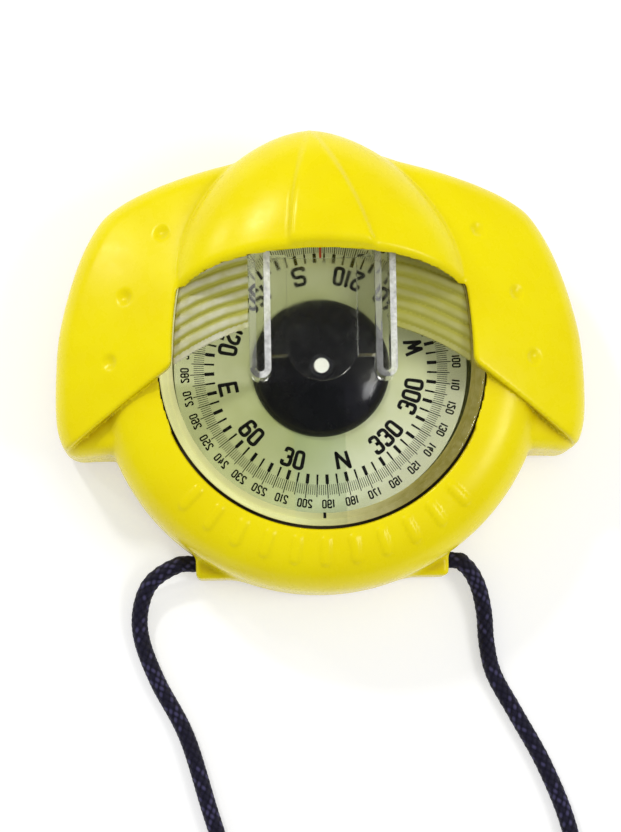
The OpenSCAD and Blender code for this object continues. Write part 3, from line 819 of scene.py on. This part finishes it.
def coat_rim(piece):
    """Paints the chamber's wall and the flange's underside with pale glowing painted light, and the seam
    round the window dark as painted shadow.
    """
    mesh = piece.data
    mesh.materials.append(rim_coating())
    # painted shadow: a dark brown coat on the seam round the window, where shade falls
    mesh.materials.append(plastic("painted_seam_shadow", linear(78, 68, 30), 0.5, 0.3))
    centres = np.empty(len(mesh.polygons) * 3)
    mesh.polygons.foreach_get("center", centres)
    x, y, z = centres.reshape(-1, 3).T / MM
    radius = np.hypot(x, y)
    wall = (z < CEILING_Z - 0.05) & (radius > WALL_R - 0.1) & (radius < FLANGE_R - 0.1)
    seam = (radius > COVER_R - 0.2) & (z > LIP_Z - 0.1) & (z < COVER_Z - 0.3)
    mesh.polygons.foreach_set("material_index", (wall + 2 * seam).astype(np.int32))


cover = lathe("window_moulding", cover_profile(), window_clear, 256)
coat_rim(cover)
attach(cover, "case")
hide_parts("capsule_cover")


FLOAT_WALL, COLLAR_R, COLLAR_RISE = 0.8, 2.6, 0.08


def float_profile():
    """Section of an open dome with an even wall and a collar round the hub."""
    edge_r, base, crown = high("card_float")[0], low("card_float")[2], high("card_float")[2]
    hub_r = high("card_hub")[0] + 0.02
    rise = crown - base
    bow = np.radians(np.linspace(0, 77, 24))
    outer = [(edge_r * cos(a), base + rise * sin(a) ** 0.9) for a in bow]
    inner_r, inner_rise = edge_r - FLOAT_WALL, rise - FLOAT_WALL
    inner = [(inner_r * cos(a), base + inner_rise * sin(a) ** 0.9) for a in bow]
    collar_z = crown + COLLAR_RISE
    collar = [(COLLAR_R, outer[-1][1]), (COLLAR_R - 0.1, collar_z), (hub_r, collar_z), (hub_r, inner[-1][1])]
    return (outer + collar + inner[::-1])[::-1]


gloss = plastic("gloss_black_float", linear(16, 16, 24), 0.15, 1.2, 0.2, shine=0.3)
dome = lathe("float_dome", float_profile(), gloss, 128)
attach(dome, "hub")
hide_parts("card_float")

# ---------- fluted shoulders of the cover ----------

RIB_COUNT, RIB_PITCH, RIB_RISE = 6, 2.0, 0.22
RIB_STEP, RIB_SWELL = 0.3, 0.3  # share of a flute that steps up, and height of its round
RIB_ARC_R, RIB_ARC_Y = 44.3, -36.3  # the flutes are arcs about this point
RIB_IN_X, RIB_BACK_Y = 12.7, 18.6  # inner ends of the shoulders, and their back
RIB_LIP, LIP_LOW, LIP_RISE = 1.0, 0.42, 0.15  # the front strip before the first flute, and its heights


def shoulder_height(x, y):
    """Distance behind the front edge, flutes passed, and height above the window."""
    back = np.hypot(x, y - RIB_ARC_Y) - RIB_ARC_R
    flute = np.clip((back - RIB_LIP) / RIB_PITCH, 0, RIB_COUNT - 0.001)
    part = flute - np.floor(flute)
    rise = np.floor(flute) + np.clip(part / RIB_STEP, 0, 1)
    lip = LIP_LOW + LIP_RISE * np.clip(back / RIB_LIP, 0, 1)
    return back, flute, lip + RIB_RISE * rise + RIB_SWELL * np.sin(np.pi * part) ** 0.8


def shoulder_field(p):
    """Both shoulders, beside the sight and inside the cape's edges."""
    x, y, z = np.abs(p[:, 0]), p[:, 1], p[:, 2]
    back, _, height = shoulder_height(x, y)
    side = np.maximum(cape_edge(x, y), np.hypot(x, y) - WINDOW_R) + 0.15
    rim = smooth_max(smooth_max(side, z - COVER_Z - height, 0.3), -back, 0.15)
    return largest(rim, RIB_IN_X - x, y - RIB_BACK_Y, COVER_Z + 0.03 - z)


def mark_flutes(piece):
    """Stores each point's place in the row of flutes; the front strip gets a crest's painted highlight."""
    places = np.empty(len(piece.data.vertices) * 3)
    piece.data.vertices.foreach_get("co", places)
    x, y, _ = places.reshape(-1, 3).T / MM
    back, flute, _ = shoulder_height(np.abs(x), y)
    store_on_points(piece, "flute", np.where(back < RIB_LIP, 0.5, flute))


shoulders_low, shoulders_high = (-WINDOW_R - 1, -2, COVER_Z - 1), (WINDOW_R + 1, 20, COVER_Z + 4)
shoulders = moulded_piece(
    "fluted_shoulders", shoulder_field, shoulders_low, shoulders_high, 0.3, ribbed_plastic(), 2
)
mark_flutes(shoulders)
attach(shoulders, "case")

# ---------- printed dial: strokes bent round the card ----------

NORTH = -77.7  # direction of the card's north, in degrees from +X
INK_LOW, INK_HIGH = 0.004, 0.03  # underside and top of the ink, above the card
# strokes in a unit box, of which only BOX closes on itself
BOX = [(0, 0), (1, 0), (1, 1), (0, 1)]
GLYPHS = {
    "0": [BOX],
    "1": [[(0.2, 0.82), (0.55, 1), (0.55, 0)]],
    "2": [[(0, 0.74), (0, 1), (1, 1), (1, 0.56), (0, 0.16), (0, 0), (1, 0)]],
    "3": [
        [(0, 0.76), (0, 1), (1, 1), (1, 0.52), (0.4, 0.52)],
        [(0.4, 0.52), (1, 0.52), (1, 0), (0, 0), (0, 0.24)],
    ],
    "4": [[(1, 0.24), (0, 0.24), (0.62, 1)], [(0.74, 0.62), (0.74, 0)]],
    "5": [[(1, 1), (0, 1), (0, 0.57), (1, 0.57), (1, 0), (0, 0), (0, 0.22)]],
    "6": [[(1, 0.8), (1, 1), (0, 1), (0, 0), (1, 0), (1, 0.56), (0, 0.56)]],
    "7": [[(0, 1), (1, 1), (0.38, 0)]],
    "8": [BOX, [(0, 0.52), (1, 0.52)]],
    "9": [[(0, 0.2), (0, 0), (1, 0), (1, 1), (0, 1), (0, 0.44), (1, 0.44)]],
    "N": [[(0, 0), (0, 1), (1, 0), (1, 1)]],
    "E": [[(1, 1), (0, 1), (0, 0), (1, 0)], [(0, 0.5), (0.85, 0.5)]],
    "S": [[(1, 0.78), (1, 1), (0, 1), (0, 0.53), (1, 0.53), (1, 0), (0, 0), (0, 0.22)]],
    "W": [[(0, 1), (0.28, 0), (0.5, 0.72), (0.72, 0), (1, 1)]],
}
SHARP = "NEW"  # glyphs with sharp corners


def round_corners(points, radius, closed):
    """The stroke's path with its corners rounded by short curves."""
    n = len(points)
    path = []
    for k, here in enumerate(points):
        if not closed and k in (0, n - 1):
            path.append(here)
            continue
        before, after = points[k - 1] - here, points[(k + 1) % n] - here
        reach = min(radius, 0.48 * np.linalg.norm(before), 0.48 * np.linalg.norm(after))
        a = here + before / np.linalg.norm(before) * reach
        c = here + after / np.linalg.norm(after) * reach
        for t in np.linspace(0, 1, 6):
            path.append((1 - t) ** 2 * a + 2 * t * (1 - t) * here + t * t * c)
    return np.array(path)


class Print:
    """Ink shapes, drawn in mm along the arc and towards the centre, and bent round the card."""

    def __init__(self, z):
        self.z = z
        self.points = []
        self.faces = []

    def strip(self, left, right, closed, bearing, radius):
        """One closed solid between two rows of points."""
        n, start = len(left), len(self.points)
        for height in (INK_LOW, INK_HIGH):
            for row in (left, right):
                for along, up in row:
                    angle = radians(NORTH - bearing) + along / radius
                    r = radius - up
                    self.points.append((r * cos(angle), r * sin(angle), self.z + height))
        bl, br, tl, tr = (start + n * k for k in range(4))
        for i in range(n if closed else n - 1):
            j = (i + 1) % n
            self.faces += [(tl + i, tl + j, tr + j, tr + i), (bl + j, bl + i, br + i, br + j)]
            self.faces += [(bl + i, bl + j, tl + j, tl + i), (br + j, br + i, tr + i, tr + j)]
        if not closed:
            e = n - 1
            self.faces += [(bl, tl, tr, br), (bl + e, br + e, tr + e, tl + e)]

    def stroke(self, points, closed, width, bearing, radius):
        """A line of even width with mitred corners."""
        before = np.roll(points, 1, axis=0)
        after = np.roll(points, -1, axis=0)
        if not closed:
            before[0], after[-1] = points[0], points[-1]
        into, out = unit(points - before), unit(after - points)
        along = unit(into + out)
        onward = np.where(np.abs(out).sum(1)[:, None] > 0, out, into)
        stretch = 1 / np.maximum((along * onward).sum(1), 0.35)
        side = np.stack([-along[:, 1], along[:, 0]], axis=1) * (0.5 * width * stretch)[:, None]
        self.strip(points + side, points - side, closed, bearing, radius)

    def label(self, words, bearing, radius, height, width, weight, gap, mirrored=False):
        """A centred label, feet towards the rim; mirrored ones read right through the prism."""
        wide = [width * (1.25 if c == "W" else 0.55 if c == "1" else 1.0) for c in words]
        total = sum(wide) + gap * (len(words) - 1)
        start = -total / 2
        for letter, letter_w in zip(words, wide):
            inner_w, inner_h = letter_w - weight, height - weight
            for stroke in GLYPHS[letter]:
                flat, closed = np.array(stroke, float), stroke is BOX
                if letter == "1":
                    flat[:, 0] = (flat[:, 0] - 0.38) * 0.8 * width / letter_w + 0.38
                flat = flat * [inner_w, inner_h] + [start + weight / 2, weight / 2 - height / 2]
                path = round_corners(flat, 0.02 if letter in SHARP else 0.42 * inner_w, closed)
                if mirrored:
                    path = path * [-1, 1]
                self.stroke(path, closed, weight, bearing, radius)
            start += letter_w + gap

    def tick(self, bearing, inner, outer, width_in, width_out):
        middle = (inner + outer) / 2
        ends = np.array([middle - inner, middle - outer])
        rows = [np.stack([side * 0.5 * np.array([width_in, width_out]), ends], axis=1) for side in (-1, 1)]
        self.strip(rows[0], rows[1], False, bearing, middle)

    def piece(self, name, material):
        return mesh_piece(name, self.points, self.faces, material, smooth=False)


# marks of the scale: inner and outer radius, and the widths there
TEN_MARKS = ((18.8, 20.5, 0.62, 0.56), (20.5, 23.05, 0.2, 0.14))
FIVE_MARKS = ((18.8, 20.5, 0.36, 0.28), (20.5, 22.8, 0.2, 0.14))
DEGREE_MARKS = ((20.6, 22.4, 0.09, 0.11),)
BIG_R, SMALL_R = 16.7, 24.0  # middles of the two rings of numbers
BIG_SIZE, BIG_SINGLE, SMALL_SIZE = (3.5, 1.95), 2.5, (1.55, 0.82)
BIG_WEIGHT, BIG_GAP = 0.62, 0.15
SMALL_WEIGHT, SMALL_GAP = 0.26, 0.1
MAJOR = {0: "N", 90: "E", 180: "S", 270: "W"}


def print_numbers():
    """Headings to read from above, and small opposite ones for the prism."""
    numbers = Print(CARD_TOP)
    height, width = BIG_SIZE
    for bearing in range(0, 360, 30):
        words = MAJOR.get(bearing, str(bearing))
        letter_w = width if len(words) > 1 else BIG_SINGLE
        numbers.label(words, bearing, BIG_R, height, letter_w, BIG_WEIGHT, BIG_GAP)
    for bearing in range(0, 360, 10):
        opposite = str((bearing + 180) % 360)
        numbers.label(opposite, bearing, SMALL_R, *SMALL_SIZE, SMALL_WEIGHT, SMALL_GAP, mirrored=True)
    return numbers


def print_scale():
    """A mark for each degree, longer at fives and longest at tens."""
    scale = Print(CARD_TOP)
    for bearing in range(360):
        marks = DEGREE_MARKS if bearing % 5 else FIVE_MARKS if bearing % 10 else TEN_MARKS
        for mark in marks:
            scale.tick(bearing, *mark)
    return scale


for printing, name in ((print_numbers(), "dial_numbers"), (print_scale(), "dial_scale")):
    ink = printing.piece(name, ink_black)
    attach(ink, "card")

# ---------- braided lanyard ----------

KNOT = np.array([15.0, -88.0, 3.7 - BORE_Z])
KNOT_CORD_R, KNOT_REACH = 1.15, 5.5  # the cord is squeezed thinner in the knot
COIL_R, COIL_PITCH, COIL_TURNS, COIL_START = 2.3, 2.5, 3, -0.6 * pi
YARNS, YARN_STEP = 7, 1.75  # yarns each way, and the length in which one passes the next
CORD_SIDES, CORD_SAMPLE = 56, 0.22
FLECK_SEED, FLECK_YARNS, FLECK_SHARE = 7, 400, 0.34


def knot_coil():
    """The cord's end wound round itself, with its short tail."""
    turn = np.linspace(0, 2 * pi * COIL_TURNS, 12 * COIL_TURNS + 1)
    along = COIL_PITCH * (COIL_TURNS / 2 - turn / (2 * pi))
    angle = turn + COIL_START
    coil = KNOT + np.stack([along, COIL_R * np.cos(angle), COIL_R * np.sin(angle)], axis=1)
    tail = coil[-1] + np.array([[-2.2, -0.9, 0.4], [-4.6, -2.6, -0.1]])
    return np.vstack([coil, tail])


def lanyard_curve():
    """Middle line: one end runs through the knot and the other is wound round it."""
    lie = CORD_R + 0.12 - BORE_Z  # height of the lying cord
    core = KNOT + np.array([[9.5, 2.4, -0.8], [6.2, 1.2, 0.3], [4, 0.1, 0], [0, 0, 0], [-4, 0, 0]])
    left = np.array([
        [4, -85, lie + 1.0], [-5, -76.5, lie], [-14, -64, lie], [-20, -46, lie], [-24.5, -31, lie],
        [-29.6, -21, lie], [-32.4, -13.5, lie], [-32.6, -8, lie * 0.8], [-30.6, -3.2, lie * 0.4],
        [-26, -0.3, 0], [-22, 0, 0], [0, 0, 0],
    ])
    right = np.array([
        [22, 0, 0], [25.6, -0.9, 0], [28, -4.4, lie * 0.4], [29.2, -9.4, lie * 0.8], [29.6, -15, lie],
        [30.8, -20.6, lie], [34.4, -27.4, lie], [39.5, -37, lie], [43.6, -48, lie], [45.4, -60, lie],
        [42, -74, lie], [33, -84, lie], [25, -89, lie + 0.6],
    ])
    return spline(np.vstack([core, left, right, knot_coil()]), 16)


def even_samples(curve, spacing):
    lengths = np.concatenate([[0], np.cumsum(np.linalg.norm(np.diff(curve, axis=0), axis=1))])
    at = np.linspace(0, lengths[-1], int(lengths[-1] / spacing) + 1)
    return np.stack([np.interp(at, lengths, curve[:, k]) for k in range(3)], axis=1), at


def braid_height(around, along):
    """Height of two crossing sets of yarns, and the yarn on top; around is in turns."""
    one, other = YARNS * around + along / YARN_STEP, YARNS * around - along / YARN_STEP
    weave = np.sin(pi * one) * np.sin(pi * other)
    over = [np.sqrt(np.maximum(1 - (2 * (phase - np.floor(phase)) - 1) ** 2, 0)) for phase in (one, other)]
    first, second = 0.55 * over[0] + 0.45 * weave, 0.55 * over[1] - 0.45 * weave
    return np.maximum(first, second), np.where(first > second, np.floor(one), -np.floor(other) - 50)


def untwisted_sides(middle):
    """Two directions square to the curve, carried along it without twist."""
    ahead = unit(np.gradient(middle, axis=0))
    side = np.empty_like(middle)
    side[0] = np.cross(ahead[0], [0, 0, 1.0])
    for i in range(1, len(middle)):
        side[i] = side[i - 1] - ahead[i] * (side[i - 1] @ ahead[i])
        side[i] /= np.linalg.norm(side[i])
    side[0] /= np.linalg.norm(side[0])
    return side, np.cross(ahead, side)


def cord_radius(middle, at):
    """Thinner in the knot, and rounded off at both ends."""
    in_knot = np.abs(middle - KNOT).max(1) < KNOT_REACH
    radius = np.convolve(np.where(in_knot, KNOT_CORD_R, CORD_R), np.ones(15) / 15, "same")
    radius[:8], radius[-8:] = KNOT_CORD_R, KNOT_CORD_R
    from_end = np.minimum(at, at[-1] - at)
    return radius * np.sqrt(np.clip(from_end / 0.7, 0.02, 1))


def cord_piece(name, material):
    """The braided cord, with its yarns' crowns and flecks stored for the material."""
    middle, at = even_samples(lanyard_curve(), CORD_SAMPLE)
    n = len(middle)
    side, up = untwisted_sides(middle)
    around, along = np.meshgrid(np.arange(CORD_SIDES) / CORD_SIDES, at)
    height, yarn = braid_height(around, along)
    radius = cord_radius(middle, at)[:, None] * (0.875 + 0.125 * height)
    angle = 2 * pi * around
    outwards = np.cos(angle)[..., None] * side[:, None] + np.sin(angle)[..., None] * up[:, None]
    points = (middle[:, None] + radius[..., None] * outwards).reshape(-1, 3) + [0, BORE_Y, BORE_Z]
    start, step = np.arange(n - 1)[:, None] * CORD_SIDES, np.arange(CORD_SIDES)
    here, beside = start + step, start + (step + 1) % CORD_SIDES
    walls = np.stack([here, beside, beside + CORD_SIDES, here + CORD_SIDES], axis=2).reshape(-1, 4)
    caps = [list(range(CORD_SIDES))[::-1], list(range((n - 1) * CORD_SIDES, n * CORD_SIDES))]
    piece = mesh_piece(name, points, walls.tolist() + caps, material)
    store_on_points(piece, "crown", np.clip(height, 0, 1))
    chance = np.random.default_rng(FLECK_SEED).random(FLECK_YARNS)
    pale = chance[(yarn.astype(int) * 3 + (yarn > -20)) % FLECK_YARNS] > 1 - FLECK_SHARE
    store_on_points(piece, "fleck", np.where(pale, 1.0, 0.1))
    return piece


cord = cord_piece("braided_cord", cord_weave())
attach(cord, "lanyard")
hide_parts("lanyard")

# ---------- floor, light and camera ----------

VIEW_FROM = Vector((-0.035, -0.105, 1.0)).normalized()
VIEW_AT = Vector((-1.9, -8.3, 14.5)) * MM
VIEW_DISTANCE = 0.45
VIEW_ANGLE = radians(13.89)
VIEW_ROLL = radians(-1.0)
FLOOR_HALF, FLOOR_CELLS, FLOOR_GAP = 1500.0, 24, 0.05


def studio_floor():
    """A pale sheet that fades into its surroundings."""
    s = Shader("pale_floor")
    tone = s.mix(s.ramp(s.noise(60, 2), 0.3, 0.7), (0.66, 0.66, 0.66), (0.68, 0.68, 0.68))
    s.set(Base_Color=tone, Roughness=0.7, Specular_IOR_Level=0.1)
    s.set(Emission_Color=(1.0, 1.0, 1.0), Emission_Strength=0.44)
    s.bump(s.noise(1.2, 2), 0.02, 0.1)
    n = FLOOR_CELLS + 1
    x, y = flat_grid((-FLOOR_HALF, -FLOOR_HALF), (n, n), 2 * FLOOR_HALF / FLOOR_CELLS)
    points = np.stack([x.ravel(), y.ravel(), np.full(x.size, -FLOOR_GAP)], axis=1)
    starts = [i * n + j for i in range(FLOOR_CELLS) for j in range(FLOOR_CELLS)]
    faces = [(start, start + n, start + n + 1, start + 1) for start in starts]
    mesh_piece("floor", points, faces, s.material)


def soft_light(name, place, size, power, mirrored=True):
    """A round lamp that faces the object; an unmirrored one leaves no glare."""
    light = bpy.data.lights.new(name, "AREA")
    light.shape = "DISK"
    light.size = size
    light.energy = power
    lamp = bpy.data.objects.new(name, light)
    lamp.location = place
    lamp.rotation_euler = (VIEW_AT - Vector(place)).to_track_quat("-Z", "Y").to_euler()
    lamp.visible_glossy = mirrored
    lamp.visible_transmission = mirrored
    scene.collection.objects.link(lamp)


def studio_world(strength, mirrored_strength):
    """An even white room that is darker in reflections, so that clear parts stay clear."""
    world = bpy.data.worlds.new("studio")
    world.use_nodes = True
    nodes, links = world.node_tree.nodes, world.node_tree.links
    sky = nodes["Background"]
    sky.inputs[0].default_value = (1.0, 1.0, 1.0, 1.0)
    path = nodes.new("ShaderNodeLightPath")
    level = nodes.new("ShaderNodeMapRange")
    level.inputs["To Min"].default_value = strength
    level.inputs["To Max"].default_value = mirrored_strength
    links.new(path.outputs["Is Glossy Ray"], level.inputs["Value"])
    links.new(level.outputs["Result"], sky.inputs[1])
    scene.world = world


def place_camera():
    """Nearly from above, a little from the front, as in the photograph."""
    camera = bpy.data.cameras.new("camera")
    camera.sensor_fit = "HORIZONTAL"
    camera.angle = VIEW_ANGLE
    camera.clip_start = 0.01
    right = Vector((0, 1, 0)).cross(VIEW_FROM).normalized()
    turn = Matrix((right, VIEW_FROM.cross(right), VIEW_FROM)).transposed().to_4x4()
    turn = turn @ Matrix.Rotation(VIEW_ROLL, 4, "Z")
    holder = bpy.data.objects.new("camera", camera)
    holder.matrix_world = Matrix.Translation(VIEW_AT + VIEW_FROM * VIEW_DISTANCE) @ turn
    scene.collection.objects.link(holder)
    scene.camera = holder


studio_floor()
studio_world(0.51, 0.06)
soft_light("key", (0.48, -0.08, 0.6), 0.25, 1.7)
soft_light("lamp", (-0.3, 0.42, 0.5), 0.07, 1.4)
soft_light("low_lamp", (-0.5, 0.36, 0.3), 0.07, 0.5)
soft_light("fill", (0.15, 0.1, 0.85), 0.5, 0.5, mirrored=False)
place_camera()
scene.view_settings.view_transform = "Standard"
scene.view_settings.look = "None"
